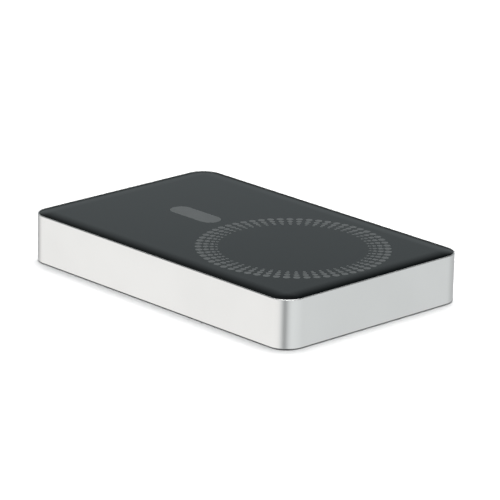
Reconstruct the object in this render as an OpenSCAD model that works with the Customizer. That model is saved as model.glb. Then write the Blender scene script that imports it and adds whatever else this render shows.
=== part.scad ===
// Magnetic wireless power bank: an aluminium band closed by a crowned charging cover and a
// base cover, with a cell, a charging coil, a ring of magnets and a small board inside.
// Millimetres. Origin in the middle of the base, +Z out of the charging face, +Y towards the
// end that carries the charging ring. The port, the button and the lights are at the -Y end.

/* [Body] */
// Length of the case, along Y
body_l = 105; // [104:0.5:112]
// Width of the case, along X
body_w = 68; // [67:0.5:74]
// Height of the case, from its base to the charging face
body_h = 14.4; // [14.4:0.1:18]
// Radius of the four upright corners
corner_r = 5.9; // [5.5:0.1:8]

/* [Aluminium band] */
// Thickness of the band's wall
wall_t = 1.6; // [1.5:0.1:1.8]
// Width of the bare rim that the band leaves around each cover
rim_land = 0.35; // [0.3:0.05:0.6]
// Size of the bright bevel along the band's outer edges
rim_bevel = 0.12; // [0.1:0.02:0.28]

/* [Covers] */
// Height by which the charging cover stands above the band
crown_h = 0.3; // [0.3:0.1:0.8]
// Width of the charging cover's curved edge
crown_w = 4.2; // [2.4:0.1:4.6]
// Thickness of the flat plate of each cover
cover_t = 1.2; // [1:0.1:1.3]
// Height by which the base cover stands out below the band
base_reveal = 0.3; // [0.2:0.05:0.5]

/* [Printed marks] */
// Distance of the charging ring's centre from the middle of the case
ring_y = 20; // [19:0.5:20.5]
// Outer diameter of the printed ring
ring_outer_d = 54.4; // [50:0.2:56]
// Number of rows of dots that make up the ring
dot_rows = 4; // [2:1:4]
// Number of dots in each row
dot_count = 60; // [24:6:60]
// Diameter of a dot in the outermost row
dot_outer_d = 2; // [1:0.05:2.2]
// Diameter of a dot in the innermost row
dot_inner_d = 0.85; // [0.5:0.05:1.2]
// Gap between neighbouring rows
dot_gap = 0.22; // [0.1:0.02:0.6]
// Length of the alignment mark
mark_l = 18.2; // [12:0.1:20]
// Width of the alignment mark
mark_w = 6.6; // [4:0.1:8]
// Distance from the ring's centre to the alignment mark's centre
mark_offset = 39.8; // [38:0.1:42]

/* [Controls] */
// Length of the power button
button_l = 8.8; // [7:0.2:10]
// Height of the power button
button_h = 3; // [2.6:0.1:3.4]
// Distance of the power button from the middle of the end
button_x = 19; // [16:0.5:20]
// Travel of the power button
button_travel = 0.3; // [0.2:0.05:0.35]
// Number of charge lights
light_count = 4; // [3:1:5]
// Distance between neighbouring charge lights
light_pitch = 3; // [2.4:0.1:3]
// Distance of the row of lights from the middle of the end
light_x = 19; // [17:0.5:20]
// Diameter of each charge light
light_d = 1.2; // [1:0.1:1.5]

/* [Inside] */
// Number of turns in the charging coil
coil_turns = 10; // [7:1:10]
// Number of places around the ring of magnets; one is left free for the coil's leads
magnet_places = 18; // [16:2:20]
// Length of the board, along Y
board_l = 17.5; // [17.5:0.5:19]

/* [Hidden] */
$fn = 96;

eps = 1;               // overshoot of a cut beyond the solid that it opens
arc_steps = 8;         // straight steps in a cover's curved edge

// Heights of the shell
rim_z = body_h - crown_h;
ledge_depth = 1.4;
top_ledge_z = rim_z - ledge_depth;
base_ledge_z = base_reveal + ledge_depth;
port_z = (base_reveal + rim_z) / 2;
tape_t = 0.1;
end_y = -body_l / 2;

// Covers
cover_gap = 0.05;
cover_inset = rim_land + cover_gap;
cover_lip = 2.6;
cover_sink = 0.15;      // depth below the rim at which the cover's curve starts
cover_under_z = body_h - cover_t;
base_edge_r = 0.5;
ink_t = 0.05;
dot_step = (dot_outer_d - dot_inner_d) / (dot_rows - 1);

// Tray that holds everything inside the band
tray_gap = 0.1;
tray_wall = 1;
tray_inset = wall_t + tray_gap;
bay_inset = tray_inset + tray_wall;
tray_z0 = base_ledge_z + 0.1;
tray_z1 = top_ledge_z - 0.1;
deck_t = 0.8;
coil_room = 2.4;
deck_z1 = cover_under_z - coil_room;
deck_z0 = deck_z1 - deck_t;
bay_w = body_w - 2 * bay_inset;

// Board and what stands on it
board_t = 1;
board_w = 60;
usb_h = 3.2;
usb_w = 8.95;
usb_len = 7.3;
usb_wall = 0.3;
usb_mouth_y = end_y + 0.4;
board_z1 = port_z - usb_h / 2;
board_z0 = board_z1 - board_t;
board_y0 = end_y + bay_inset + 0.4;
board_y1 = board_y0 + board_l;
screw_x = 27.2;
screw_ys = [board_y0 + 2.8, board_y1 - 2.7];
screw_r = 0.8;

// Cell
cell_w = bay_w - 1.6;
cell_y1 = body_l / 2 - bay_inset - 0.6;
cell_y0 = board_y1 + 6;
cell_z0 = cover_t + 0.3;
cell_z1 = deck_z0 - 0.5;
terrace_l = 4.4;
terrace_z = (cell_z0 + cell_z1) / 2;
terrace_t = 0.3;
tab_t = 0.15;
cell_board_t = 0.8;
cell_board_z = terrace_z + terrace_t + tab_t;
cell_tab_x = 12;

// Magnets and coil
carrier_wall = 0.9;
magnet_r1 = 27.2;
magnet_r0 = 23;
backing_t = 0.4;
magnet_t = 1.6;
lead_gap_angle = 20;
shield_t = 0.8;
shield_r = 21.8;
wire_d = 1;
coil_pitch = 1.08;
coil_r0 = 10.2;
coil_step = 12;
lead_d = 0.7;
lead_bend = 0.42;
lead_x = 5.2;
jog_y = ring_y - 29.15;
sensor_x = 6.8;
coil_z0 = deck_z1 + shield_t;
align_magnet = [6, 18, 1.6];
align_y = ring_y - mark_offset;
drop_y = board_y1 - 5.1;
lead_slot = [2.4, 1.0];

// Button and switch
slot_gap = 0.1;
flange_t = 0.7;
flange_rim = 0.85;
flange_y0 = end_y + wall_t + cover_gap;
switch_size = [4.7, 2.4, 3.2];
switch_y0 = board_y0 + 1.1;
plunger_r = 0.8;
plunger_tip_y = switch_y0 - 0.9;
chamber_y0 = switch_y0 + 0.9;
collar_r = 1.35;
chamber_r = 1.5;
dome_h = 0.25;
dome_r = 1.4;
dome_t = 0.1;
plunger_l = 0.4;
chamber_l = plunger_l + button_travel + dome_h + 0.05;

// Charge lights
guide_y0 = end_y + wall_t + cover_gap;
guide_t = 1.1;
guide_h = 2.7;
guide_w = (light_count - 1) * light_pitch + 4;

// Diameter of the dots in a row, and the row's radius, counted from the outermost row
function dot_d(row) = dot_outer_d - row * dot_step;
function dot_r(row) = row == 0 ? (ring_outer_d - dot_outer_d) / 2
    : dot_r(row - 1) - (dot_d(row - 1) + dot_d(row)) / 2 - dot_gap;

function light_place(i) = -light_x + (i - (light_count - 1) / 2) * light_pitch;

// ---- building blocks ----

// Rounded rectangle centred on the origin
module rounded_rect(w, l, r) {
    square([w - 2 * r, l], center = true);
    square([w, l - 2 * r], center = true);
    for (x = [-1, 1], y = [-1, 1])
        translate([x * (w / 2 - r), y * (l / 2 - r)]) circle(r);
}

// The case's outline, moved inwards by inset
module outline(inset) {
    rounded_rect(body_w - 2 * inset, body_l - 2 * inset, corner_r - inset);
}

// A slot with round ends, w along x and h high
module stadium(w, h) {
    square([w - h, h], center = true);
    for (x = [-1, 1]) translate([x * (w - h) / 2, 0]) circle(h / 2);
}

// Flat ring
module annulus(r1, r0) {
    difference() {
        circle(r1);
        circle(r0);
    }
}

// Wedge of the given angle, opening towards -Y
module wedge(angle, r) {
    polygon([[0, 0], [r * sin(angle / 2), -r * cos(angle / 2)], [-r * sin(angle / 2), -r * cos(angle / 2)]]);
}

// Raises a flat shape from z0 to z1
module span_z(z0, z1) {
    translate([0, 0, z0]) linear_extrude(z1 - z0) children();
}

// Draws a flat shape, given in x and z, from y0 to y1
module span_y(y0, y1) {
    translate([0, y1, 0]) rotate([90, 0, 0]) linear_extrude(y1 - y0) children();
}

// Solid with the case's outline whose edge follows [inset, z] points from bottom to top
module edge_plate(edge) {
    hx = body_w / 2;
    hy = body_l / 2;
    n = len(edge);
    for (side = [[hx, body_l - 2 * corner_r, 0], [hy, body_w - 2 * corner_r, 90]])
        rotate([0, 0, side[2]]) translate([0, side[1] / 2, 0]) rotate([90, 0, 0])
            linear_extrude(side[1])
                polygon(concat(
                    [for (p = edge) [side[0] - p[0], p[1]]],
                    [for (i = [n - 1:-1:0]) [edge[i][0] - side[0], edge[i][1]]]));
    for (k = [0:3])
        translate([(k == 0 || k == 3 ? 1 : -1) * (hx - corner_r), (k < 2 ? 1 : -1) * (hy - corner_r), 0])
            rotate([0, 0, 90 * k]) rotate_extrude(angle = 90)
                polygon(concat(
                    [[0, edge[0][1]]],
                    [for (p = edge) [corner_r - p[0], p[1]]],
                    [[0, edge[n - 1][1]]]));
}

function unit(v) = v / norm(v);

// Places its child, drawn along +Z from the origin, at p and along direction u
module along(p, u) {
    translate(p) rotate([0, acos(u[2]), atan2(u[1], u[0])]) children();
}

// Round bend at corner p between directions u and v, as an arc of radius r
module bend(p, u, v, d, r) {
    angle = acos(u * v);
    inward = unit(v - (u * v) * u);
    up = cross(u, inward);
    c = p - r * tan(angle / 2) * u + r * inward;
    multmatrix([for (k = [0:2]) [-inward[k], u[k], up[k], c[k]]])
        rotate_extrude(angle = angle) translate([r, 0]) circle(d = d);
}

// Round wire along a path of points, with each corner rounded to radius r
module wire(points, d, r) {
    $fn = 64;
    n = len(points);
    dirs = [for (i = [0:n - 2]) unit(points[i + 1] - points[i])];
    trims = [for (i = [0:n - 1])
        i == 0 || i == n - 1 ? 0 : r * tan(acos(dirs[i - 1] * dirs[i]) / 2)];
    for (i = [0:n - 2]) {
        span = norm(points[i + 1] - points[i]) - trims[i] - trims[i + 1];
        along(points[i] + trims[i] * dirs[i], dirs[i]) cylinder(h = span, d = d);
        if (i > 0) bend(points[i], dirs[i - 1], dirs[i], d, r);
    }
}

// Box standing on z0, centred on x and y
module block(x, y, z0, size) {
    translate([x - size[0] / 2, y - size[1] / 2, z0]) cube(size);
}

// ---- shell ----

module frame() {
    color("gainsboro") difference() {
        edge_plate([[rim_bevel, base_reveal], [0, base_reveal + rim_bevel],
                    [0, rim_z - rim_bevel], [rim_bevel, rim_z]]);
        span_z(base_reveal - eps, rim_z + eps) outline(wall_t);
        span_z(top_ledge_z, rim_z + eps) outline(rim_land);
        span_z(base_reveal - eps, base_ledge_z) outline(rim_land);
        usb_cut(0.15);
        span_y(end_y - eps, end_y + wall_t + eps)
            translate([button_x, port_z]) stadium(button_l + 2 * slot_gap, button_h + 2 * slot_gap);
        for (i = [0:light_count - 1])
            span_y(end_y - eps, end_y + wall_t + eps)
                translate([light_place(i), port_z]) circle(d = light_d + 0.1);
    }
}

// Opening for the port's shell through the band
module usb_cut(gap) {
    span_y(end_y - eps, end_y + wall_t + eps)
        translate([0, port_z]) stadium(usb_w + 2 * gap, usb_h + 2 * gap);
}

module top_cover() {
    side_z = rim_z - cover_sink;
    color("darkslategray") difference() {
        edge_plate(concat(
            [[cover_inset, top_ledge_z + tape_t]],
            [for (i = [0:arc_steps]) let (a = 90 * i / arc_steps)
                [cover_inset + crown_w * (1 - cos(a)), side_z + (body_h - side_z) * sin(a)]]));
        span_z(0, cover_under_z) outline(cover_inset + cover_lip);
        span_z(body_h - ink_t, body_h + eps) {
            ring_shape();
            mark_shape();
        }
    }
}

module ring_shape() {
    translate([0, ring_y]) for (row = [0:dot_rows - 1], i = [0:dot_count - 1])
        rotate(360 * i / dot_count) translate([dot_r(row), 0]) circle(d = dot_d(row));
}

module mark_shape() {
    translate([0, align_y]) rotate(90) stadium(mark_l, mark_w);
}

module ring_marks() {
    color("dimgray") span_z(body_h - ink_t, body_h) ring_shape();
}

module alignment_mark() {
    color("dimgray") span_z(body_h - ink_t, body_h) mark_shape();
}

module base_cover() {
    color("darkslategray") difference() {
        edge_plate(concat(
            [for (i = [0:arc_steps]) let (a = 90 * i / arc_steps)
                [cover_inset + base_edge_r * (1 - sin(a)), base_edge_r * (1 - cos(a))]],
            [[cover_inset, base_ledge_z - tape_t]]));
        span_z(cover_t, base_ledge_z + eps) outline(cover_inset + cover_lip);
    }
}

module cover_tape(z0) {
    span_z(z0, z0 + tape_t) difference() {
        outline(cover_inset + 0.1);
        outline(wall_t - 0.05);
    }
}

module top_cover_tape() {
    color("black") cover_tape(top_ledge_z);
}

module base_cover_tape() {
    color("black") cover_tape(base_ledge_z - tape_t);
}

// ---- tray ----

module inner_tray() {
    color("dimgray") {
        difference() {
            span_z(tray_z0, tray_z1) outline(tray_inset);
            span_z(tray_z0 - eps, deck_z0) outline(bay_inset);
            span_z(deck_z1, tray_z1 + eps) outline(bay_inset);
            usb_cut_tray();
            span_y(end_y + wall_t, end_y + bay_inset + eps) {
                translate([button_x, port_z])
                    stadium(button_l + 2 * flange_rim + 0.6, button_h + 2 * flange_rim + 0.6);
                translate([-light_x, port_z])
                    square([guide_w + 0.2, guide_h + 0.2], center = true);
            }
            block(0, drop_y, deck_z0 - eps, [17, 4.4, deck_t + 2 * eps]);
        }
        for (x = [-screw_x, screw_x], y = screw_ys) difference() {
            translate([x, y, board_z1]) cylinder(h = deck_z0 - board_z1, r = 2);
            translate([x, y, board_z1 - eps]) cylinder(h = 4, r = screw_r + 0.05);
        }
        for (x = [-1, 1]) block(x * (bay_w / 2 - 7), board_y1 + 0.9, tray_z0, [14, 0.9, deck_z0 - tray_z0]);
        span_z(deck_z1, deck_z1 + align_magnet[2]) translate([0, align_y]) difference() {
            square([align_magnet[0] + 1.8, align_magnet[1] + 1.8], center = true);
            square([align_magnet[0] + 0.2, align_magnet[1] + 0.2], center = true);
        }
    }
}

// Opening for the port's shell through the tray's wall
module usb_cut_tray() {
    span_y(end_y + wall_t, end_y + bay_inset + eps) translate([0, port_z])
        stadium(usb_w + 0.6, usb_h + 0.6);
}

// ---- magnets and coil ----

module magnet_carrier() {
    color("dimgray") span_z(deck_z1, deck_z1 + backing_t + magnet_t) translate([0, ring_y])
        difference() {
            annulus(magnet_r1 + 0.1 + carrier_wall, magnet_r0 - 0.1 - carrier_wall);
            difference() {
                annulus(magnet_r1 + 0.1, magnet_r0 - 0.1);
                wedge(lead_gap_angle + 4, 2 * magnet_r1);
            }
            wedge(lead_gap_angle, 2 * magnet_r1);
        }
}

module magnet_backing_ring() {
    color("silver") span_z(deck_z1, deck_z1 + backing_t) translate([0, ring_y]) difference() {
        annulus(magnet_r1, magnet_r0);
        wedge(lead_gap_angle + 6, 2 * magnet_r1);
    }
}

module ring_magnets() {
    place = (360 - lead_gap_angle - 6) / (magnet_places - 1);
    z0 = deck_z1 + backing_t;
    color("silver") for (i = [0:magnet_places - 2])
        translate([0, ring_y, z0])
            rotate([0, 0, -90 + (lead_gap_angle + 6) / 2 + (i + 0.5) * place])
                rotate([0, 0, -(place - 0.8) / 2]) rotate_extrude(angle = place - 0.8)
                    translate([magnet_r0, 0]) square([magnet_r1 - magnet_r0, magnet_t]);
}

module alignment_magnets() {
    half = [align_magnet[0], align_magnet[1] / 2 - 0.1, align_magnet[2] - 0.1];
    color("silver") for (s = [-1, 1]) block(0, align_y + s * align_magnet[1] / 4, deck_z1, half);
}

module coil_shield() {
    color("black") span_z(deck_z1, deck_z1 + shield_t) translate([0, ring_y]) difference() {
        circle(shield_r);
        circle(2.2);
        translate([-lead_slot[0] / 2, -shield_r - eps]) square([lead_slot[0], shield_r + eps]);
    }
}

// Flat coil: one spiral strip of wire from the inner end to the outer end
module charging_coil() {
    last = coil_turns * 360;
    w = wire_d / 2;
    function turn(a, side) =
        let (r = coil_r0 + coil_pitch * a / 360 + side * w) [r * cos(a - 90), r * sin(a - 90)];
    color("peru") translate([0, ring_y, coil_z0]) linear_extrude(wire_d)
        polygon(concat(
            [for (a = [0:coil_step:last]) turn(a, 1)],
            [for (a = [last:-coil_step:0]) turn(a, -1)]));
}

module coil_leads() {
    inner_y = ring_y - coil_r0;
    outer_y = inner_y - coil_pitch * coil_turns;
    upper = coil_z0 + wire_d / 2;
    lower = deck_z1 + lead_d / 2 + 0.03;
    end = board_z1 + 0.4;
    color("peru") {
        wire([[0, outer_y, upper], [1.8, outer_y, upper], [1.8, jog_y, upper],
              [lead_x, jog_y, upper], [lead_x, drop_y, upper], [lead_x, drop_y, end]],
             lead_d, lead_bend);
        wire([[0, inner_y, upper], [-0.75, inner_y, upper], [-0.75, inner_y, lower],
              [-0.75, jog_y, lower], [-lead_x, jog_y, lower], [-lead_x, drop_y, lower],
              [-lead_x, drop_y, end]],
             lead_d, lead_bend);
        for (x = [-lead_x, lead_x]) translate([x, drop_y, board_z1]) cylinder(h = 0.6, r = 0.55);
    }
}

module coil_thermistor() {
    d = 0.6;
    x = 0.45;
    z = deck_z1 + d / 2 + 0.05;
    color("black") {
        translate([x, ring_y + 0.4, deck_z1]) cylinder(h = 1, r = 0.7);
        wire([[x, ring_y, z], [x, jog_y, z], [sensor_x, jog_y, z], [sensor_x, drop_y, z],
              [sensor_x, drop_y, board_z1]], d, lead_bend);
    }
}

// ---- cell ----

module battery_cell() {
    cell_h = cell_z1 - cell_z0;
    cell_l = cell_y1 - cell_y0;
    fold_r = 2.2;
    mid = [0, (cell_y0 + cell_y1) / 2, (cell_z0 + cell_z1) / 2];
    color("lightgray") {
        translate(mid) intersection() {
            translate([0, cell_l / 2, 0]) rotate([90, 0, 0]) linear_extrude(cell_l)
                rounded_rect(cell_w, cell_h, fold_r);
            translate([-cell_w / 2, 0, 0]) rotate([90, 0, 90]) linear_extrude(cell_w)
                rounded_rect(cell_l, cell_h, fold_r);
            translate([0, 0, -cell_h / 2]) linear_extrude(cell_h) rounded_rect(cell_w, cell_l, 2.5);
        }
        translate([4 - cell_w / 2, cell_y0 - terrace_l, terrace_z])
            cube([cell_w - 8, terrace_l + eps, terrace_t]);
    }
}

module cell_tabs() {
    color("silver") for (x = [-cell_tab_x, cell_tab_x])
        block(x, cell_y0 - terrace_l / 2 - 0.2, terrace_z + terrace_t, [4, terrace_l - 0.6, tab_t]);
}

module cell_board() {
    color("darkgreen") block(0, cell_y0 - terrace_l / 2 - 0.3, cell_board_z, [44, 3.4, cell_board_t]);
}

module cell_board_chips() {
    y = cell_y0 - terrace_l / 2 - 0.3;
    z = cell_board_z + cell_board_t;
    color("black") {
        for (x = [4, 8.5]) block(x, y, z, [3, 2.6, 0.75]);
        block(-3, y, z, [1.6, 1.6, 0.7]);
    }
}

module battery_lead(x) {
    d = 1.3;
    y0 = cell_y0 - terrace_l / 2 - 0.1;
    y1 = board_y1 - 2.4;
    z0 = cell_board_z + cell_board_t;
    wire([[x, y0, z0 + 0.7], [x, y1, z0 + 0.7], [x, y1, board_z1 + 0.3]], d, 0.75);
    for (p = [[x, y0, z0], [x, y1, board_z1]]) translate(p) cylinder(h = 0.5, r = 0.95);
}

module battery_lead_red() {
    color("firebrick") battery_lead(-13);
}

module battery_lead_black() {
    color("black") battery_lead(-16.5);
}

module battery_pads() {
    color("white") for (x = [-18, 18])
        block(x, (cell_y0 + cell_y1) / 2, cover_t, [12, cell_y1 - cell_y0 - 14, 0.3]);
}

module heat_spreader() {
    color("black") block(0, (cell_y0 + cell_y1) / 2, cell_z1, [cell_w - 6, cell_y1 - cell_y0 - 6, 0.1]);
}

// ---- board ----

module main_board() {
    color("darkgreen") span_z(board_z0, board_z1) difference() {
        translate([0, (board_y0 + board_y1) / 2]) rounded_rect(board_w, board_l, 1.6);
        for (x = [-screw_x, screw_x], y = screw_ys) translate([x, y]) circle(screw_r + 0.15);
        for (x = [-1, 1], y = usb_leg_ys) translate([x * usb_leg_x, y]) square([0.7, 1.3], center = true);
    }
}

usb_leg_x = usb_w / 2 - 0.2;
usb_leg_ys = [board_y0 + 1.2, board_y0 + 4];

module board_screws() {
    head_h = 0.8;
    color("silver") for (x = [-screw_x, screw_x], y = screw_ys)
        translate([x, y, board_z0]) {
            cylinder(h = 3.8, r = screw_r);
            difference() {
                translate([0, 0, -head_h]) cylinder(h = head_h, r = 1.5);
                for (a = [0, 90]) rotate([0, 0, a]) block(0, 0, -head_h - eps, [1.9, 0.4, eps + 0.45]);
            }
        }
}

module board_chips() {
    z = board_z1;
    color("black") {
        block(0, board_y0 + 9, z, [6, 6, 0.9]);
        block(10.5, board_y0 + 9, z, [5, 5, 0.9]);
        for (x = [-9.5, -5.7]) for (dy = [6.8, 10.4]) block(x, board_y0 + dy, z, [3, 3, 0.8]);
        block(0, board_y0 + 14.6, z, [3, 1.8, 0.8]);
    }
}

module board_capacitors() {
    z = board_z1;
    color("tan") {
        for (i = [0:3]) block(14.8 + 3 * i, board_y1 - 2.2, z, [2.5, 3.2, 1.8]);
        for (i = [0:4]) block(-23.4 + 2.2 * i, board_y0 + 5.2, z, [1.2, 1.9, 0.9]);
        for (i = [0:3]) block(10.2 + 2 * i, board_y0 + 4.2, z, [1, 1.7, 0.8]);
        for (x = [-11.5, 13]) block(x, board_y0 + 2.2, z, [1.3, 2, 1]);
    }
}

module power_inductors() {
    color("dimgray") for (x = [-20.5, 19.8]) block(x, board_y0 + 10.1, board_z1, [6.8, 6.6, 3]);
}

// ---- port ----

module usb_c_shell() {
    color("silver") {
        difference() {
            span_y(usb_mouth_y, usb_mouth_y + usb_len) translate([0, port_z]) stadium(usb_w, usb_h);
            span_y(usb_mouth_y - eps, usb_mouth_y + usb_len + eps) translate([0, port_z])
                stadium(usb_w - 2 * usb_wall, usb_h - 2 * usb_wall);
        }
        for (x = [-1, 1], y = usb_leg_ys)
            block(x * usb_leg_x, y, board_z0 - 0.3, [0.3, 1, port_z - board_z0]);
    }
}

tongue_size = [6.7, 4.5, 0.6];

module usb_c_tongue() {
    back_l = 1.8;
    back_y = usb_mouth_y + usb_len - back_l;
    color("black") {
        span_y(back_y, usb_mouth_y + usb_len) translate([0, port_z])
            stadium(usb_w - 2 * usb_wall - 0.02, usb_h - 2 * usb_wall - 0.02);
        block(0, back_y - tongue_size[1] / 2 + 0.1, port_z - tongue_size[2] / 2,
              tongue_size + [0, 0.2, 0]);
    }
}

module usb_c_contacts() {
    contact = [0.25, 3.6, 0.04];
    y = usb_mouth_y + usb_len - 1.8 - contact[1] / 2 - 0.1;
    above = port_z + tongue_size[2] / 2;
    below = port_z - tongue_size[2] / 2 - contact[2];
    color("gold") for (i = [0:11], z = [above, below]) block((i - 5.5) * 0.5, y, z, contact);
}

// ---- button ----

module power_button() {
    dish_r = 42;
    color("black") translate([button_x, 0, port_z]) {
        difference() {
            span_y(end_y, flange_y0) stadium(button_l, button_h);
            translate([0, end_y - dish_r + 0.25, -button_h])
                cylinder(h = 2 * button_h, r = dish_r, $fn = 360);
        }
        span_y(flange_y0, flange_y0 + flange_t)
            stadium(button_l + 2 * flange_rim, button_h + 2 * flange_rim);
        span_y(flange_y0 + flange_t, plunger_tip_y) circle(1.1);
    }
}

module switch_body() {
    color("dimgray") translate([button_x, 0, 0]) difference() {
        block(0, switch_y0 + switch_size[1] / 2, board_z1, switch_size);
        span_y(switch_y0 - eps, chamber_y0 + 0.1) translate([0, port_z]) circle(plunger_r + 0.05);
        span_y(chamber_y0, chamber_y0 + chamber_l) translate([0, port_z]) circle(chamber_r);
    }
}

module switch_plunger() {
    color("white") translate([button_x, 0, 0]) {
        span_y(plunger_tip_y, chamber_y0 + plunger_l) translate([0, port_z]) circle(plunger_r);
        span_y(chamber_y0 + 0.1, chamber_y0 + plunger_l) translate([0, port_z]) circle(collar_r);
    }
}

// Snap dome that pushes the plunger back
module switch_dome() {
    ball_r = (dome_r * dome_r + dome_h * dome_h) / (2 * dome_h);
    base_y = chamber_y0 + chamber_l;
    color("silver") translate([button_x, base_y - dome_h + ball_r, port_z]) intersection() {
        difference() {
            sphere(ball_r);
            sphere(ball_r - dome_t);
        }
        rotate([90, 0, 0]) translate([0, 0, ball_r - dome_h]) cylinder(h = dome_h + eps, r = 2 * dome_r);
    }
}

// ---- charge lights ----

module indicator_leds() {
    color("ivory") for (i = [0:light_count - 1])
        block(light_place(i), board_y0 + 0.4, board_z1, [1.6, 0.8, 0.9]);
}

module light_guide() {
    color("white") {
        span_y(guide_y0, guide_y0 + guide_t) translate([-light_x, port_z])
            square([guide_w, guide_h], center = true);
        for (i = [0:light_count - 1])
            span_y(end_y + 0.05, guide_y0 + guide_t / 2) translate([light_place(i), port_z])
                circle(d = light_d);
    }
}

frame();
top_cover();
ring_marks();
alignment_mark();
base_cover();
top_cover_tape();
base_cover_tape();
inner_tray();
magnet_carrier();
magnet_backing_ring();
ring_magnets();
alignment_magnets();
coil_shield();
charging_coil();
coil_leads();
coil_thermistor();
battery_cell();
cell_tabs();
cell_board();
cell_board_chips();
battery_lead_red();
battery_lead_black();
battery_pads();
heat_spreader();
main_board();
board_screws();
board_chips();
board_capacitors();
power_inductors();
usb_c_shell();
usb_c_tongue();
usb_c_contacts();
power_button();
switch_body();
switch_plunger();
switch_dome();
indicator_leds();
light_guide();
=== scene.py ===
"""Magnetic wireless power bank: visible pieces, materials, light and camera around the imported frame.

Lengths are in metres in the part's own frame: X across the width, Y along the length towards the
charging ring's end, Z out of the charging face. The case's sections and the grains are in mm.
"""
import math

import bmesh
import bpy
from mathutils import Matrix, Vector


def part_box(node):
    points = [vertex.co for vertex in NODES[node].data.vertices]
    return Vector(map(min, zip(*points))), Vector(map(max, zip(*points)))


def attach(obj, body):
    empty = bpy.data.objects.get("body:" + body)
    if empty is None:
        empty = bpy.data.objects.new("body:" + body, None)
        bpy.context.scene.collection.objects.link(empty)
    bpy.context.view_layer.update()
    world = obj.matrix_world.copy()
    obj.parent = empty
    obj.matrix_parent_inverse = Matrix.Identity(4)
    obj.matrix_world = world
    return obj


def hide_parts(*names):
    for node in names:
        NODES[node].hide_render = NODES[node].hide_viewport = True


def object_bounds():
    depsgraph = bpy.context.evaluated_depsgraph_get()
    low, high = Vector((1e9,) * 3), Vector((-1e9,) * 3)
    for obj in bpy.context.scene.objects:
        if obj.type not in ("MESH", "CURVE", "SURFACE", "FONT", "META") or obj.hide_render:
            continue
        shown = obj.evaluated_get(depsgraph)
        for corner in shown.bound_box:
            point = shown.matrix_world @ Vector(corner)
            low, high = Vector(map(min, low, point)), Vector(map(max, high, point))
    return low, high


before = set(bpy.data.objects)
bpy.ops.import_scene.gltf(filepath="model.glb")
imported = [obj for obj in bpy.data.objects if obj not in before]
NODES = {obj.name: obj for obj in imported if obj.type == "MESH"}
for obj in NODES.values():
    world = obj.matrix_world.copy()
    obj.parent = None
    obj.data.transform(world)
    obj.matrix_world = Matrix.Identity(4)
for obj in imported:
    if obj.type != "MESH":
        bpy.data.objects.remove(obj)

MM = 0.001
CAD_BOX = [[float(c) for c in corner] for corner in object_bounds()]
CORNER_R = 5.9 * MM
CORNER_STEPS = 28


# ---------------------------------------------------------------- meshes

def make_object(name, mesh, sharp):
    """Links a mesh as an object, shaded smooth except along edges sharper than the angle in degrees."""
    obj = bpy.data.objects.new(name, mesh)
    bpy.context.scene.collection.objects.link(obj)
    for face in mesh.polygons:
        face.use_smooth = True
    mesh.set_sharp_from_angle(angle=math.radians(sharp))
    normals = obj.modifiers.new("face_weighted_normals", "WEIGHTED_NORMAL")
    normals.keep_sharp = True
    normals.weight = 70
    return obj


def to_mesh(name, bm):
    bmesh.ops.recalc_face_normals(bm, faces=bm.faces)
    mesh = bpy.data.meshes.new(name)
    bm.to_mesh(mesh)
    bm.free()
    return mesh


def rect_loop(half_x, half_y, radius, steps=CORNER_STEPS, guard=0.35 * MM):
    """Rounded rectangle as a counterclockwise loop, with a guard point beside each corner."""
    points = []
    for k, (sx, sy) in enumerate(((1, 1), (-1, 1), (-1, -1), (1, -1))):
        cx, cy = sx * (half_x - radius), sy * (half_y - radius)
        start = math.radians(90 * k)
        first = Vector((math.cos(start), math.sin(start)))
        last = Vector((math.cos(start + math.pi / 2), math.sin(start + math.pi / 2)))
        along_first = Vector((first.y, -first.x))
        along_last = Vector((-last.y, last.x))
        centre = Vector((cx, cy))
        points.append(centre + first * radius + along_first * guard)
        for i in range(steps + 1):
            a = start + math.pi / 2 * i / steps
            points.append(centre + Vector((math.cos(a), math.sin(a))) * radius)
        points.append(centre + last * radius + along_last * guard)
    return points


def stadium_loop(width, height, grow=0.0, steps=20):
    """Slot outline with round ends in a plane, counterclockwise, grown outwards by grow."""
    r = height / 2
    run = width / 2 - r
    points = []
    for side in (1, -1):
        for i in range(steps + 1):
            a = math.pi * (i / steps - side / 2)
            points.append(Vector((side * run + (r + grow) * math.cos(a), (r + grow) * math.sin(a))))
    return points


def circle_loop(radius, steps=32):
    turns = [2 * math.pi * i / steps for i in range(steps)]
    return [Vector((radius * math.cos(a), radius * math.sin(a))) for a in turns]


def skin(bm, loops, closed=False):
    """Adds loops of 3-D points and the faces between neighbours. closed joins the last to the first."""
    rings = [[bm.verts.new(p) for p in loop] for loop in loops]
    count = len(rings[0])
    pairs = list(zip(rings, rings[1:])) + ([(rings[-1], rings[0])] if closed else [])
    for near, far in pairs:
        for i in range(count):
            j = (i + 1) % count
            bm.faces.new((near[i], near[j], far[j], far[i]))
    return rings


def skin_solid(bm, loops):
    """Skins loops and closes both ends."""
    rings = skin(bm, loops)
    bm.faces.new(list(reversed(rings[0])))
    bm.faces.new(rings[-1])


def loft(name, loops, closed=False):
    """Mesh skinned over loops: a ring if closed, else a solid with two capped ends."""
    bm = bmesh.new()
    if closed:
        skin(bm, loops, closed=True)
    else:
        skin_solid(bm, loops)
    return to_mesh(name, bm)


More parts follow.
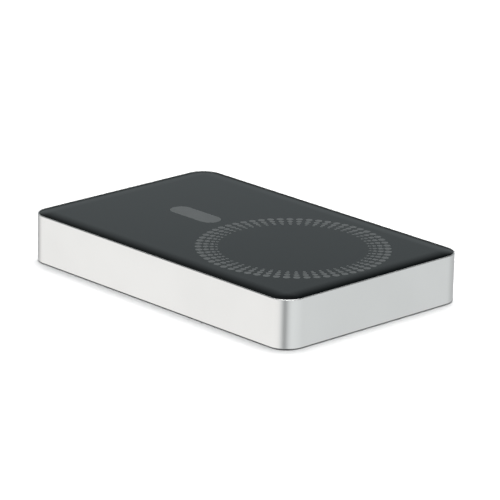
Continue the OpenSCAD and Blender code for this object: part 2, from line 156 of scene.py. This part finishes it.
def round_profile(points, steps=5):
    """Profile of (inset, z, radius) corners, in mm, with each corner rounded to its radius."""
    out = []
    n = len(points)
    for i, (x, z, r) in enumerate(points):
        here = Vector((x, z))
        if r <= 0:
            out.append(here)
            continue
        before = (Vector(points[i - 1][:2]) - here).normalized()
        after = (Vector(points[(i + 1) % n][:2]) - here).normalized()
        half = before.angle(after) / 2
        reach = r / math.tan(half)
        a, b = here + before * reach, here + after * reach
        centre = here + (before + after).normalized() * (r / math.sin(half))
        u, v = a - centre, b - centre
        turn = u.angle(v)
        for k in range(steps + 1):
            t = k / steps
            out.append(centre + (u * math.sin((1 - t) * turn) + v * math.sin(t * turn)) / math.sin(turn))
    return out


def case_loops(profile):
    """One loop round the case for each (inset, z) point of a profile in mm."""
    loops = []
    for inset, z in profile:
        outline = rect_loop(outer_x - inset * MM, outer_y - inset * MM, CORNER_R - inset * MM)
        loops.append([Vector((p.x, p.y, z * MM)) for p in outline])
    return loops


def end_loops(outline, stages, x, z):
    """Loops in planes across Y: outline(grow) placed at x, z for each (y, grow) stage in metres."""
    return [[Vector((x + p.x, y, z + p.y)) for p in outline(grow)] for y, grow in stages]


def cut(obj, cutters):
    """Takes the cutters out of obj's mesh and removes them."""
    for cutter in cutters:
        step = obj.modifiers.new("cut", "BOOLEAN")
        step.operation = "DIFFERENCE"
        step.solver = "EXACT"
        step.object = cutter
    graph = bpy.context.evaluated_depsgraph_get()
    mesh = bpy.data.meshes.new_from_object(obj.evaluated_get(graph))
    obj.modifiers.clear()
    obj.data = mesh
    for cutter in cutters:
        bpy.data.objects.remove(cutter)


def temp_object(mesh):
    """Object that only takes part in a cut."""
    obj = bpy.data.objects.new("cutter", mesh)
    bpy.context.scene.collection.objects.link(obj)
    return obj


# ---------------------------------------------------------------- material nodes

class Nodes:
    """Short notation for a material's node tree."""

    def __init__(self, name):
        self.material = bpy.data.materials.new(name)
        self.material.use_nodes = True
        self.tree = self.material.node_tree
        self.tree.nodes.clear()
        out = self.tree.nodes.new("ShaderNodeOutputMaterial")
        self.bsdf = self.tree.nodes.new("ShaderNodeBsdfPrincipled")
        self.link(self.bsdf.outputs[0], out.inputs["Surface"])
        self.coords = self.tree.nodes.new("ShaderNodeTexCoord").outputs["Object"]

    def link(self, a, b):
        self.tree.links.new(a, b)

    def set(self, **values):
        for key, value in values.items():
            self.bsdf.inputs[key.replace("_", " ")].default_value = value

    def stretch(self, scale):
        node = self.tree.nodes.new("ShaderNodeMapping")
        node.inputs["Scale"].default_value = scale
        self.link(self.coords, node.inputs["Vector"])
        return node.outputs[0]

    def noise(self, scale, detail=2.0, rough=0.5, coords=None):
        node = self.tree.nodes.new("ShaderNodeTexNoise")
        node.inputs["Scale"].default_value = scale
        node.inputs["Detail"].default_value = detail
        node.inputs["Roughness"].default_value = rough
        self.link(coords or self.coords, node.inputs["Vector"])
        return node.outputs["Fac"]

    def cells(self, scale, feature="F1"):
        node = self.tree.nodes.new("ShaderNodeTexVoronoi")
        node.feature = feature
        node.inputs["Scale"].default_value = scale
        self.link(self.coords, node.inputs["Vector"])
        return node.outputs["Distance"]

    def wave(self, scale, distortion):
        """Bands across X."""
        node = self.tree.nodes.new("ShaderNodeTexWave")
        node.bands_direction = "X"
        node.inputs["Scale"].default_value = scale
        node.inputs["Distortion"].default_value = distortion
        self.link(self.coords, node.inputs["Vector"])
        return node.outputs["Fac"]

    def remap(self, value, low, high):
        """Maps the middle half of a pattern's values to low..high."""
        node = self.tree.nodes.new("ShaderNodeMapRange")
        node.inputs["From Min"].default_value = 0.25
        node.inputs["From Max"].default_value = 0.75
        node.inputs["To Min"].default_value = low
        node.inputs["To Max"].default_value = high
        self.link(value, node.inputs["Value"])
        return node.outputs[0]

    def ramp(self, value, colours):
        node = self.tree.nodes.new("ShaderNodeValToRGB")
        stops = node.color_ramp.elements
        for i, (place, colour) in enumerate(colours):
            stop = stops[i] if i < len(stops) else stops.new(place)
            stop.position = place
            stop.color = (*colour, 1)
        self.link(value, node.inputs[0])
        self.link(node.outputs[0], self.bsdf.inputs["Base Color"])

    def roughness(self, value, low, high):
        self.link(self.remap(value, low, high), self.bsdf.inputs["Roughness"])

    def bump(self, *layers):
        """layers of (height, depth in metres), added in turn."""
        normal = None
        for height, depth in layers:
            node = self.tree.nodes.new("ShaderNodeBump")
            node.inputs["Strength"].default_value = 1.0
            node.inputs["Distance"].default_value = depth
            self.link(height, node.inputs["Height"])
            if normal is not None:
                self.link(normal, node.inputs["Normal"])
            normal = node.outputs[0]
        self.link(normal, self.bsdf.inputs["Normal"])


def shade(colour, k):
    return tuple(min(1.0, c * k) for c in colour)


def plastic(name, colour, rough, grain=0.25, depth=0.004, vary=0.12, ior=1.46):
    """Moulded plastic with a fine spark-eroded grain, sizes in mm."""
    m = Nodes(name)
    m.set(Metallic=0.0, IOR=ior)
    broad = m.noise(1 / (9 * MM), 3)
    fine = m.noise(1 / (grain * MM), 2, 0.6)
    m.ramp(broad, [(0.3, shade(colour, 1 - vary)), (0.7, shade(colour, 1 + vary))])
    m.roughness(fine, rough - 0.05, rough + 0.06)
    m.bump((fine, depth * MM), (m.cells(1 / (grain * 1.7 * MM)), depth * 0.5 * MM))
    return m.material


def metal(name, colour, rough, grain, depth, drawn=None, vary=0.06, spread=0.06):
    """Metal with blasted grain, or with drawn lines when a stretch (x, y, z) is given, sizes in mm."""
    m = Nodes(name)
    m.set(Metallic=1.0)
    coords = m.stretch(drawn) if drawn else None
    fine = m.noise(1 / (grain * MM), 2, 0.6, coords)
    broad = m.noise(1 / (14 * MM), 2, 0.5)
    m.ramp(broad, [(0.3, shade(colour, 1 - vary)), (0.7, shade(colour, 1 + vary))])
    m.roughness(fine, rough - spread, rough + spread)
    m.bump((fine, depth * MM))
    return m.material


def finish_node(node, material, bevel=None):
    """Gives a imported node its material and, if asked, a small rounded edge in mm."""
    obj = NODES[node]
    obj.data.materials.clear()
    obj.data.materials.append(material)
    if bevel:
        edge = obj.modifiers.new("rounded_edges", "BEVEL")
        edge.width = bevel * MM
        edge.segments = 3
        edge.limit_method = "ANGLE"
        edge.angle_limit = math.radians(40)
        edge.harden_normals = False


def add_piece(obj, material, body, slot, *nodes):
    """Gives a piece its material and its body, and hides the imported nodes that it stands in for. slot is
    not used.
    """
    obj.data.materials.clear()
    obj.data.materials.append(material)
    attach(obj, body)
    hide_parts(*nodes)


# ---------------------------------------------------------------- sizes

frame_lo, frame_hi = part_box("frame")
cover_lo, cover_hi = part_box("top_cover")
base_lo, base_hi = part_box("base_cover")
outer_x, outer_y = frame_hi.x, frame_hi.y
end_y = frame_lo.y

# Sections of the band and the covers in mm, as heights, thicknesses and insets from the case's outline
rim_z = frame_hi.z / MM
foot_z = frame_lo.z / MM
face_z = cover_hi.z / MM
cover_inset = (outer_x - cover_hi.x) / MM
wall = 1.6
land = 0.35
edge_bevel = 0.12
ledge_depth = 1.4
ledge_top = rim_z - ledge_depth
ledge_base = foot_z + ledge_depth
plate_t = 1.2
lip_inset = cover_inset + 2.6

# Openings in the port's end, and where the button's flange and the light bar start behind the wall
back_y = end_y + (wall + 0.05) * MM
usb_lo, usb_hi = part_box("usb_c_shell")
button_lo, button_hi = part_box("power_button")
guide_lo, guide_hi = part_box("light_guide")
led_lo, led_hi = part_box("indicator_leds")
port_z = (guide_lo.z + guide_hi.z) / 2
button_x = (button_lo.x + button_hi.x) / 2
usb_w, usb_h = usb_hi.x - usb_lo.x, 3.2 * MM
button_w, button_h = 8.8 * MM, 3.0 * MM
lens_count = 4
lens_r = 0.6 * MM
led_half = 0.8 * MM
lens_pitch = (led_hi.x - led_lo.x - 2 * led_half) / (lens_count - 1)
lens_xs = [led_lo.x + led_half + i * lens_pitch for i in range(lens_count)]


# ---------------------------------------------------------------- aluminium band

band_profile = round_profile([
    (land, foot_z, 0.03),
    (edge_bevel, foot_z, 0.04),
    (0.0, foot_z + edge_bevel, 0.1),
    (0.0, rim_z - edge_bevel, 0.1),
    (edge_bevel, rim_z, 0.04),
    (land, rim_z, 0.03),
    (land, ledge_top, 0.0),
    (wall, ledge_top, 0.0),
    (wall, ledge_base, 0.0),
    (land, ledge_base, 0.0),
])
band = temp_object(loft("band", case_loops(band_profile), closed=True))


def mouth(outline, x, chamfer):
    """Cutter through the end wall with a small bevel round its mouth."""
    stages = [(end_y - 1 * MM, chamfer + 1 * MM), (end_y, chamfer),
              (end_y + chamfer * 0.3, chamfer * 0.42), (end_y + chamfer, 0.0),
              (end_y + (wall + 1) * MM, 0.0)]
    return temp_object(loft("cutter", end_loops(outline, stages, x, port_z)))


usb_play, button_play, lens_play = 0.3 * MM, 0.2 * MM, 0.05 * MM
usb_hole = usb_w + usb_play, usb_h + usb_play
button_hole = button_w + button_play, button_h + button_play
cutters = [mouth(lambda g: stadium_loop(*usb_hole, g), 0.0, 0.22 * MM),
           mouth(lambda g: stadium_loop(*button_hole, g), button_x, 0.14 * MM)]
cutters += [mouth(lambda g: circle_loop(lens_r + lens_play + g), x, 0.08 * MM) for x in lens_xs]
cut(band, cutters)
band_mesh = band.data
bpy.data.objects.remove(band)
band = make_object("aluminium_band", band_mesh, sharp=28)


# ---------------------------------------------------------------- charging cover

def quarter(inset, width, z0, z1, steps):
    """Quarter of an ellipse from the upright side at (inset, z0) to the flat face at (inset + width, z1)."""
    turns = [math.pi / 2 * i / steps for i in range(steps + 1)]
    return [(inset + width * (1 - math.cos(a)), z0 + (z1 - z0) * math.sin(a)) for a in turns]


# The plate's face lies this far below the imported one, so that the printed marks stand clear of it
print_step = 0.006
crown_w = 4.8
crown_foot = rim_z - 0.15
cover_top = face_z - print_step
cover_foot = cover_lo.z / MM
foot_bevel = 0.08
cover_profile = (
    [(lip_inset, face_z - plate_t), (lip_inset, cover_foot)]
    + [(cover_inset + foot_bevel, cover_foot), (cover_inset, cover_foot + foot_bevel)]
    + quarter(cover_inset, crown_w, crown_foot, cover_top, 30)
    + [(cover_inset + crown_w + 0.3, cover_top)]
)
cover = make_object("charging_cover", loft("charging_cover", case_loops(cover_profile)), sharp=50)


# ---------------------------------------------------------------- base cover

base_foot, base_top = base_lo.z / MM, base_hi.z / MM
base_edge_r = 0.5
base_edge = quarter(cover_inset, base_edge_r, base_foot + base_edge_r, base_foot, 8)
base_profile = (
    [(cover_inset + 3.0, base_foot)]
    + list(reversed(base_edge))
    + [(cover_inset, base_top), (lip_inset, base_top), (lip_inset, base_foot + plate_t)]
)
base = make_object("base_plate", loft("base_plate", case_loops(base_profile)), sharp=50)


# ---------------------------------------------------------------- port, button, lights

shell_y0, shell_y1 = usb_lo.y, usb_hi.y
shell_wall = 0.3 * MM
shell_stages = [
    (shell_y0, -0.10 * MM), (shell_y0 + 0.03 * MM, -0.03 * MM), (shell_y0 + 0.10 * MM, 0.0),
    (shell_y1, 0.0), (shell_y1, -shell_wall),
    (shell_y0 + 0.35 * MM, -shell_wall), (shell_y0 + 0.06 * MM, -0.20 * MM), (shell_y0, -0.14 * MM),
]
shell_loops = end_loops(lambda g: stadium_loop(usb_w, usb_h, g), shell_stages, 0.0, port_z)
shell = make_object("port_shell", loft("port_shell", shell_loops, closed=True), sharp=40)


def button_mesh():
    """Cap with a rounded, dished face, then the flange behind the wall and the stem."""
    dish = 0.25 * MM
    dish_r = 42 * MM
    flange_t = 0.7 * MM
    flange_rim = 0.85 * MM
    flange_bevel = 0.05 * MM
    stem_r = 1.1 * MM
    flange_back = back_y + flange_t

    def outline(grow):
        return stadium_loop(button_w, button_h, grow)

    def face_point(p, drop):
        sag = dish_r - math.sqrt(dish_r * dish_r - p.x * p.x)
        return Vector((button_x + p.x, end_y + max(0.02 * MM, dish - sag) + drop, port_z + p.y))

    # The face from just off its middle line outwards, then its round edge, as (distance inwards, drop) in mm
    middle = 0.999 * button_h / 2 / MM
    flat = [(share * middle, 0.0) for share in (1.0, 0.75, 0.5)]
    edge = [(0.3, 0.0), (0.22, 0.0), (0.14, 0.012), (0.07, 0.04), (0.03, 0.075), (0.008, 0.12), (0.0, 0.2)]
    loops = [[face_point(p, drop * MM) for p in outline(-inwards * MM)] for inwards, drop in flat + edge]
    loops += end_loops(outline, [
        (back_y - 0.1 * MM, 0.0), (back_y, 0.0),
        (back_y, flange_rim - flange_bevel), (back_y + flange_bevel, flange_rim),
        (flange_back - flange_bevel, flange_rim), (flange_back, flange_rim - flange_bevel),
    ], button_x, port_z)
    stem_stages = [(flange_back, 0.0), (button_hi.y, 0.0)]
    stem = end_loops(lambda g: circle_loop(stem_r + g), stem_stages, button_x, port_z)

    bm = bmesh.new()
    skin(bm, loops)
    bm.faces.new(skin(bm, stem)[-1])
    edges = [e for e in bm.edges if e.is_boundary]
    bmesh.ops.triangle_fill(bm, edges=edges, use_beauty=True)
    return to_mesh("button_cap", bm)


button = make_object("button_cap", button_mesh(), sharp=40)


def lens_loops(x):
    """Light pipe end: a flat tip with a rounded edge in its hole, then the rod back to the bar."""
    tip = guide_lo.y
    stages = [(tip, -0.30 * MM), (tip + 0.006 * MM, -0.16 * MM), (tip + 0.025 * MM, -0.07 * MM),
              (tip + 0.06 * MM, -0.015 * MM), (tip + 0.10 * MM, 0.0), (end_y + wall * MM, 0.0)]
    return end_loops(lambda g: circle_loop(lens_r + g), stages, x, port_z)


def light_guide_mesh():
    """Bar behind the wall with one light pipe for each hole."""
    bm = bmesh.new()
    for x in lens_xs:
        skin_solid(bm, lens_loops(x))
    bar = bmesh.ops.create_cube(bm, size=1.0)["verts"]
    size = Vector((guide_hi.x - guide_lo.x, guide_hi.y - back_y, guide_hi.z - guide_lo.z))
    centre = Vector(((guide_lo.x + guide_hi.x) / 2, (back_y + guide_hi.y) / 2, port_z))
    for v in bar:
        v.co = Vector((v.co.x * size.x, v.co.y * size.y, v.co.z * size.z)) + centre
    bmesh.ops.bevel(bm, geom=list({e for v in bar for e in v.link_edges}), offset=0.12 * MM, segments=2,
                    affect="EDGES", profile=0.5)
    return to_mesh("light_lenses", bm)


lenses = make_object("light_lenses", light_guide_mesh(), sharp=40)


# ---------------------------------------------------------------- materials

def band_material():
    """Bead-blasted, anodised aluminium."""
    m = Nodes("satin_anodised_aluminium")
    m.set(Metallic=1.0)
    fine = m.noise(1 / (0.14 * MM), 3, 0.65)
    pits = m.cells(1 / (0.2 * MM))
    broad = m.noise(1 / (22 * MM), 2, 0.5)
    m.ramp(broad, [(0.3, (0.70, 0.70, 0.69)), (0.7, (0.73, 0.73, 0.72))])
    m.roughness(fine, 0.28, 0.34)
    m.bump((fine, 0.0012 * MM), (pits, 0.0008 * MM))
    return m.material


def cover_material():
    """Dark satin plate with a fine, even grain."""
    m = Nodes("dark_satin_cover")
    m.set(Metallic=0.0, IOR=1.33)
    fine = m.noise(1 / (0.12 * MM), 3, 0.6)
    broad = m.noise(1 / (30 * MM), 3, 0.5)
    m.ramp(broad, [(0.3, (0.0016, 0.0023, 0.0025)), (0.7, (0.0019, 0.0027, 0.0029))])
    m.roughness(fine, 0.10, 0.13)
    m.bump((fine, 0.0008 * MM))
    return m.material


def ink_material():
    """Screen-printed grey ink, slightly uneven."""
    m = Nodes("grey_print")
    m.set(Metallic=0.0, IOR=1.33)
    fine = m.noise(1 / (0.1 * MM), 3, 0.6)
    broad = m.noise(1 / (6 * MM), 2, 0.5)
    m.ramp(broad, [(0.3, (0.062, 0.067, 0.068)), (0.7, (0.069, 0.074, 0.075))])
    m.roughness(fine, 0.30, 0.38)
    m.bump((fine, 0.0012 * MM))
    return m.material


def diffuser_material():
    """Frosted milky light guide."""
    m = Nodes("frosted_diffuser")
    m.set(Metallic=0.0, IOR=1.49)
    m.set(Subsurface_Weight=0.35, Subsurface_Scale=0.8 * MM, Subsurface_Radius=(1.0, 1.0, 1.0))
    fine = m.noise(1 / (0.15 * MM), 2, 0.5)
    m.ramp(m.noise(1 / (2 * MM), 2), [(0.3, (0.60, 0.61, 0.62)), (0.7, (0.66, 0.67, 0.68))])
    m.roughness(fine, 0.28, 0.38)
    m.bump((fine, 0.001 * MM))
    return m.material


def board_material():
    """Green solder mask with faint tracks beneath."""
    m = Nodes("solder_mask")
    m.set(Metallic=0.0, IOR=1.5, Coat_Weight=0.4, Coat_Roughness=0.2)
    tracks = m.cells(1 / (1.6 * MM), "DISTANCE_TO_EDGE")
    fine = m.noise(1 / (0.3 * MM), 2)
    m.ramp(tracks, [(0.02, (0.02, 0.16, 0.07)), (0.12, (0.012, 0.10, 0.045))])
    m.roughness(fine, 0.28, 0.40)
    m.bump((tracks, 0.01 * MM), (fine, 0.001 * MM))
    return m.material


def foil_material():
    """Crimped aluminium laminate of a pouch cell."""
    m = Nodes("cell_laminate")
    m.set(Metallic=0.9)
    dents = m.noise(1 / (5 * MM), 4, 0.6)
    weave = m.wave(1 / (0.5 * MM), 0.2)
    m.ramp(dents, [(0.3, (0.56, 0.57, 0.58)), (0.7, (0.66, 0.67, 0.68))])
    m.roughness(dents, 0.30, 0.42)
    m.bump((dents, 0.03 * MM), (weave, 0.002 * MM))
    return m.material


def coil_material():
    """Enamelled copper strands lying side by side."""
    m = Nodes("enamelled_copper")
    m.set(Metallic=1.0, Coat_Weight=0.5, Coat_Roughness=0.15)
    strands = m.noise(1 / (0.25 * MM), 2, 0.5, m.stretch((1.0, 1.0, 3.0)))
    m.ramp(strands, [(0.3, (0.62, 0.26, 0.11)), (0.7, (0.76, 0.36, 0.18))])
    m.roughness(strands, 0.22, 0.36)
    m.bump((strands, 0.012 * MM))
    return m.material


chip_colour = (0.018, 0.0185, 0.019)
add_piece(band, band_material(), "case", "band_aluminium", "frame")
add_piece(cover, cover_material(), "case", "cover_plastic", "top_cover")
add_piece(base, plastic("base_plate_plastic", (0.010, 0.0105, 0.011), 0.42, 0.18, 0.0025, 0.08, 1.45),
          "case", "cover_plastic", "base_cover")
ink = ink_material()
finish_node("ring_marks", ink)
finish_node("alignment_mark", ink)
add_piece(shell, metal("plated_steel", (0.55, 0.55, 0.54), 0.28, 0.2, 0.001, (1, 0.1, 1)),
          "case", "port_steel", "usb_c_shell")
add_piece(button, plastic("button_plastic", (0.016, 0.0165, 0.017), 0.36, 0.16, 0.002, 0.08),
          "button", "button_plastic", "power_button")
add_piece(lenses, diffuser_material(), "case", "diffuser", "light_guide")

CARRIED = {
    "top_cover_tape": plastic("black_tape", (0.02, 0.02, 0.02), 0.7, 0.5, 0.01),
    "base_cover_tape": plastic("black_tape_base", (0.02, 0.02, 0.02), 0.7, 0.5, 0.01),
    "inner_tray": plastic("tray_plastic", (0.045, 0.047, 0.05), 0.55, 0.35, 0.006),
    "magnet_carrier": plastic("carrier_plastic", (0.09, 0.09, 0.092), 0.5, 0.3, 0.005),
    "magnet_backing_ring": metal("zinc_plated_steel", (0.50, 0.51, 0.52), 0.4, 0.6, 0.004),
    "ring_magnets": metal("nickel_plated_magnet", (0.62, 0.60, 0.56), 0.22, 0.25, 0.002),
    "alignment_magnets": metal("nickel_plated_bar", (0.62, 0.60, 0.56), 0.22, 0.25, 0.002),
    "coil_shield": plastic("ferrite_sheet", (0.045, 0.043, 0.042), 0.6, 0.4, 0.008),
    "charging_coil": coil_material(),
    "coil_leads": metal("lead_copper", (0.70, 0.32, 0.15), 0.3, 0.2, 0.003),
    "coil_thermistor": plastic("sensor_sleeve", (0.02, 0.02, 0.02), 0.45, 0.3, 0.004),
    "battery_cell": foil_material(),
    "cell_tabs": metal("rolled_nickel", (0.58, 0.56, 0.51), 0.3, 0.3, 0.002, (1, 0.1, 1)),
    "cell_board": board_material(),
    "cell_board_chips": plastic("cell_chip_epoxy", chip_colour, 0.5, 0.15, 0.003),
    "battery_lead_red": plastic("red_insulation", (0.45, 0.015, 0.012), 0.35, 0.5, 0.004),
    "battery_lead_black": plastic("black_insulation", (0.02, 0.02, 0.02), 0.35, 0.5, 0.004),
    "battery_pads": plastic("adhesive_foam", (0.70, 0.70, 0.68), 0.8, 0.4, 0.03),
    "heat_spreader": metal("dark_foil", (0.28, 0.28, 0.29), 0.45, 0.5, 0.004),
    "main_board": board_material(),
    "board_screws": metal("plated_screw", (0.48, 0.48, 0.48), 0.3, 0.15, 0.002),
    "board_chips": plastic("chip_epoxy", chip_colour, 0.5, 0.15, 0.003),
    "board_capacitors": plastic("capacitor_ceramic", (0.40, 0.25, 0.13), 0.5, 0.15, 0.003),
    "power_inductors": plastic("pressed_powder", (0.075, 0.075, 0.078), 0.65, 0.25, 0.012),
    "usb_c_tongue": plastic("port_plastic", (0.015, 0.015, 0.016), 0.4, 0.12, 0.002),
    "usb_c_contacts": metal("gold_plating", (0.85, 0.62, 0.26), 0.22, 0.2, 0.001),
    "switch_body": plastic("switch_housing", (0.06, 0.06, 0.06), 0.5, 0.2, 0.004),
    "switch_plunger": plastic("plunger_plastic", (0.55, 0.55, 0.52), 0.45, 0.2, 0.003),
    "switch_dome": metal("spring_steel", (0.58, 0.58, 0.56), 0.25, 0.3, 0.001),
    "indicator_leds": plastic("led_resin", (0.72, 0.66, 0.36), 0.2, 0.3, 0.002),
}
# Rounded edges in mm
BEVELS = {"usb_c_tongue": 0.06, "power_inductors": 0.25, "board_chips": 0.06, "cell_board_chips": 0.05,
          "ring_magnets": 0.1, "alignment_magnets": 0.1, "switch_body": 0.08}
for node_name, node_material in CARRIED.items():
    finish_node(node_name, node_material, BEVELS.get(node_name))


# ---------------------------------------------------------------- floor

def floor_material():
    """Plain pale matt surface."""
    m = Nodes("pale_floor")
    m.set(Metallic=0.0, Roughness=0.9, Specular_IOR_Level=0.0)
    m.ramp(m.noise(3.0, 2), [(0.3, (0.86, 0.86, 0.86)), (0.7, (0.87, 0.87, 0.87))])
    return m.material


floor_bm = bmesh.new()
bmesh.ops.create_grid(floor_bm, x_segments=1, y_segments=1, size=6.0)
floor = bpy.data.objects.new("floor", to_mesh("floor", floor_bm))
bpy.context.scene.collection.objects.link(floor)
floor.data.materials.append(floor_material())
floor.location.z = CAD_BOX[0][2]
floor.visible_glossy = False


# ---------------------------------------------------------------- light

def direction(azimuth, elevation):
    """Unit vector towards a direction: azimuth in degrees from +X towards +Y, elevation above the floor."""
    a, e = math.radians(azimuth), math.radians(elevation)
    return Vector((math.cos(a) * math.cos(e), math.sin(a) * math.cos(e), math.sin(e)))


# Radiance that the sides mirror from table level, as (azimuth in degrees, radiance). A dark gap between
# two reflectors stands in front of the corner between +X and +Y.
TABLE_GLOW = [(0, 1.28), (10, 1.20), (20, 0.97), (28, 0.60), (34, 0.37), (40, 0.32), (46, 0.52), (53, 0.80),
              (64, 0.98), (76, 1.05), (90, 1.02), (120, 0.96), (134, 0.93), (150, 0.76), (180, 0.64),
              (206, 0.62), (243, 0.62), (264, 0.56), (278, 0.72), (290, 1.00), (302, 1.25), (316, 1.29),
              (340, 1.29)]
GLOW_PEAK = 1.3
# Tint of the glow: cool all round, but neutral between these azimuths, through 0, from where +X is lit
COOL = (0.97, 1.0, 1.01)
NEUTRAL = (0.97, 0.965, 0.96)
NEUTRAL_RANGE = (278, 20)


def glow_tint(azimuth):
    first, last = NEUTRAL_RANGE
    return NEUTRAL if azimuth >= first or azimuth < last else COOL


# Elevations between which the glow gives way to the backdrop upwards, and fades downwards towards the shadow
# under the object, with the share of it that is left there
GLOW_TOP = (3, 17.5)
GLOW_FOOT = (-68, -52)
FOOT_SHARE = 0.02
# Dark patch low behind the object, mirrored along the cover's far edges, as (azimuth, elevation, inner half
# angle, outer half angle), and the share of the glow that is left in it
REAR_GAP = (226, 9, 12, 20)
GAP_SHARE = 0.06
# Grey backdrop that the flat cover mirrors, the elevations between which it ends, and the dark room above
BACKDROP = 0.53
BACKDROP_TOP = (12.5, 29)
ROOM = 0.03
ROOM_TINT = (0.90, 1.0, 1.03)
# Large soft box overhead, leaning away from the lens, and the faint glow of a wall beside it, each as
# (azimuth, elevation, inner half angle, outer half angle, strength)
LAMPS = [(215, 79, 12, 32, 9.3), (268, 40, 15, 44, 0.09)]


def surroundings():
    """World whose light depends only on its direction: glow at table level, backdrop, room and lamps."""
    world = bpy.data.worlds.new("studio")
    bpy.context.scene.world = world
    world.use_nodes = True
    tree = world.node_tree
    tree.nodes.clear()
    out = tree.nodes.new("ShaderNodeOutputWorld")
    background = tree.nodes.new("ShaderNodeBackground")
    tree.links.new(background.outputs[0], out.inputs[0])
    toward = tree.nodes.new("ShaderNodeTexCoord").outputs["Generated"]

    def fill(sockets, values):
        """Sets each socket to a plain value or links it to another node's output."""
        for socket, value in zip(sockets, values):
            if isinstance(value, bpy.types.NodeSocket):
                tree.links.new(value, socket)
            else:
                socket.default_value = value

    def vector_math(operation, a, b):
        node = tree.nodes.new("ShaderNodeVectorMath")
        node.operation = operation
        fill(node.inputs, (a, b))
        return node.outputs["Value"] if operation == "DOT_PRODUCT" else node.outputs["Vector"]

    def ramp(value, src, dst, smooth=True):
        node = tree.nodes.new("ShaderNodeMapRange")
        node.interpolation_type = "SMOOTHSTEP" if smooth else "LINEAR"
        node.inputs["From Min"].default_value = src[0]
        node.inputs["From Max"].default_value = src[1]
        node.inputs["To Min"].default_value = dst[0]
        node.inputs["To Max"].default_value = dst[1]
        tree.links.new(value, node.inputs["Value"])
        return node.outputs[0]

    def scaled(vector, factor):
        node = tree.nodes.new("ShaderNodeVectorMath")
        node.operation = "SCALE"
        fill((node.inputs[0], node.inputs["Scale"]), (vector, factor))
        return node.outputs["Vector"]

    def patch(azimuth, elevation, inner, outer, levels):
        """Soft round patch: levels[0] outside its outer half angle, levels[1] inside its inner one."""
        near = vector_math("DOT_PRODUCT", toward, direction(azimuth, elevation))
        return ramp(near, (math.cos(math.radians(outer)), math.cos(math.radians(inner))), levels)

    def glow_by_azimuth():
        split = tree.nodes.new("ShaderNodeSeparateXYZ")
        tree.links.new(toward, split.inputs[0])
        angle = tree.nodes.new("ShaderNodeMath")
        angle.operation = "ARCTAN2"
        tree.links.new(split.outputs["Y"], angle.inputs[0])
        tree.links.new(split.outputs["X"], angle.inputs[1])
        turn = ramp(angle.outputs[0], (-math.pi, math.pi), (0.0, 1.0), smooth=False)
        node = tree.nodes.new("ShaderNodeValToRGB")
        around = sorted(((a + 180) % 360 / 360, level / GLOW_PEAK, glow_tint(a)) for a, level in TABLE_GLOW)
        around.append((1.0, *around[0][1:]))
        stops = node.color_ramp.elements
        while len(stops) < len(around):
            stops.new(0.5)
        for stop, (place, level, tint) in zip(stops, around):
            stop.position = place
            stop.color = (*(level * t for t in tint), 1)
        tree.links.new(turn, node.inputs[0])
        return scaled(node.outputs[0], GLOW_PEAK)

    height = vector_math("DOT_PRODUCT", toward, (0.0, 0.0, 1.0))
    glow_foot, glow_top, backdrop_top = ([math.sin(math.radians(e)) for e in pair]
                                         for pair in (GLOW_FOOT, GLOW_TOP, BACKDROP_TOP))
    table = scaled(glow_by_azimuth(), ramp(height, glow_top, (1.0, 0.0)))
    table = scaled(table, ramp(height, glow_foot, (FOOT_SHARE, 1.0)))
    table = scaled(table, patch(*REAR_GAP, (1.0, GAP_SHARE)))
    backdrop = scaled(ROOM_TINT, ramp(height, glow_top, (0.0, BACKDROP)))
    room = scaled(ROOM_TINT, ramp(height, backdrop_top, (0.0, ROOM - BACKDROP)))
    total = vector_math("ADD", vector_math("ADD", table, backdrop), room)
    for *place, strength in LAMPS:
        total = vector_math("ADD", total, scaled((1.0, 1.0, 1.0), patch(*place, (0.0, strength))))
    tree.links.new(total, background.inputs["Color"])
    background.inputs["Strength"].default_value = 1.0


surroundings()
scene = bpy.context.scene
scene.view_settings.view_transform = "Standard"
scene.view_settings.look = "None"
scene.view_settings.exposure = 0.0
scene.view_settings.gamma = 1.0


# ---------------------------------------------------------------- camera

# Angles in degrees, azimuth from -Y towards +X; the lens in mm for a 36 mm sensor
CAMERA_AZIMUTH = 136.2
CAMERA_ELEVATION = 17.86
CAMERA_ROLL = 1.22
CAMERA_DISTANCE = 0.9823
CAMERA_LENS = 252.4
CAMERA_TARGET = Vector((0.0, 0.0, 8.0 * MM))
CAMERA_SLIDE = (1.96 * MM, 0.69 * MM)


def place_camera():
    a, e, r = (math.radians(v) for v in (CAMERA_AZIMUTH, CAMERA_ELEVATION, CAMERA_ROLL))
    back = Vector((math.sin(a) * math.cos(e), -math.cos(a) * math.cos(e), math.sin(e)))
    right = Vector((math.cos(a), math.sin(a), 0.0))
    up = back.cross(right)
    rolled_right = right * math.cos(r) + up * math.sin(r)
    rolled_up = up * math.cos(r) - right * math.sin(r)
    data = bpy.data.cameras.new("camera")
    data.sensor_width = 36.0
    data.lens = CAMERA_LENS
    data.clip_start, data.clip_end = 0.05, 50.0
    cam = bpy.data.objects.new("camera", data)
    bpy.context.scene.collection.objects.link(cam)
    slide = rolled_right * CAMERA_SLIDE[0] + rolled_up * CAMERA_SLIDE[1]
    place = CAMERA_TARGET + slide + back * CAMERA_DISTANCE
    turn = Matrix((rolled_right, rolled_up, back)).transposed().to_4x4()
    cam.matrix_world = Matrix.Translation(place) @ turn
    bpy.context.scene.camera = cam


place_camera()
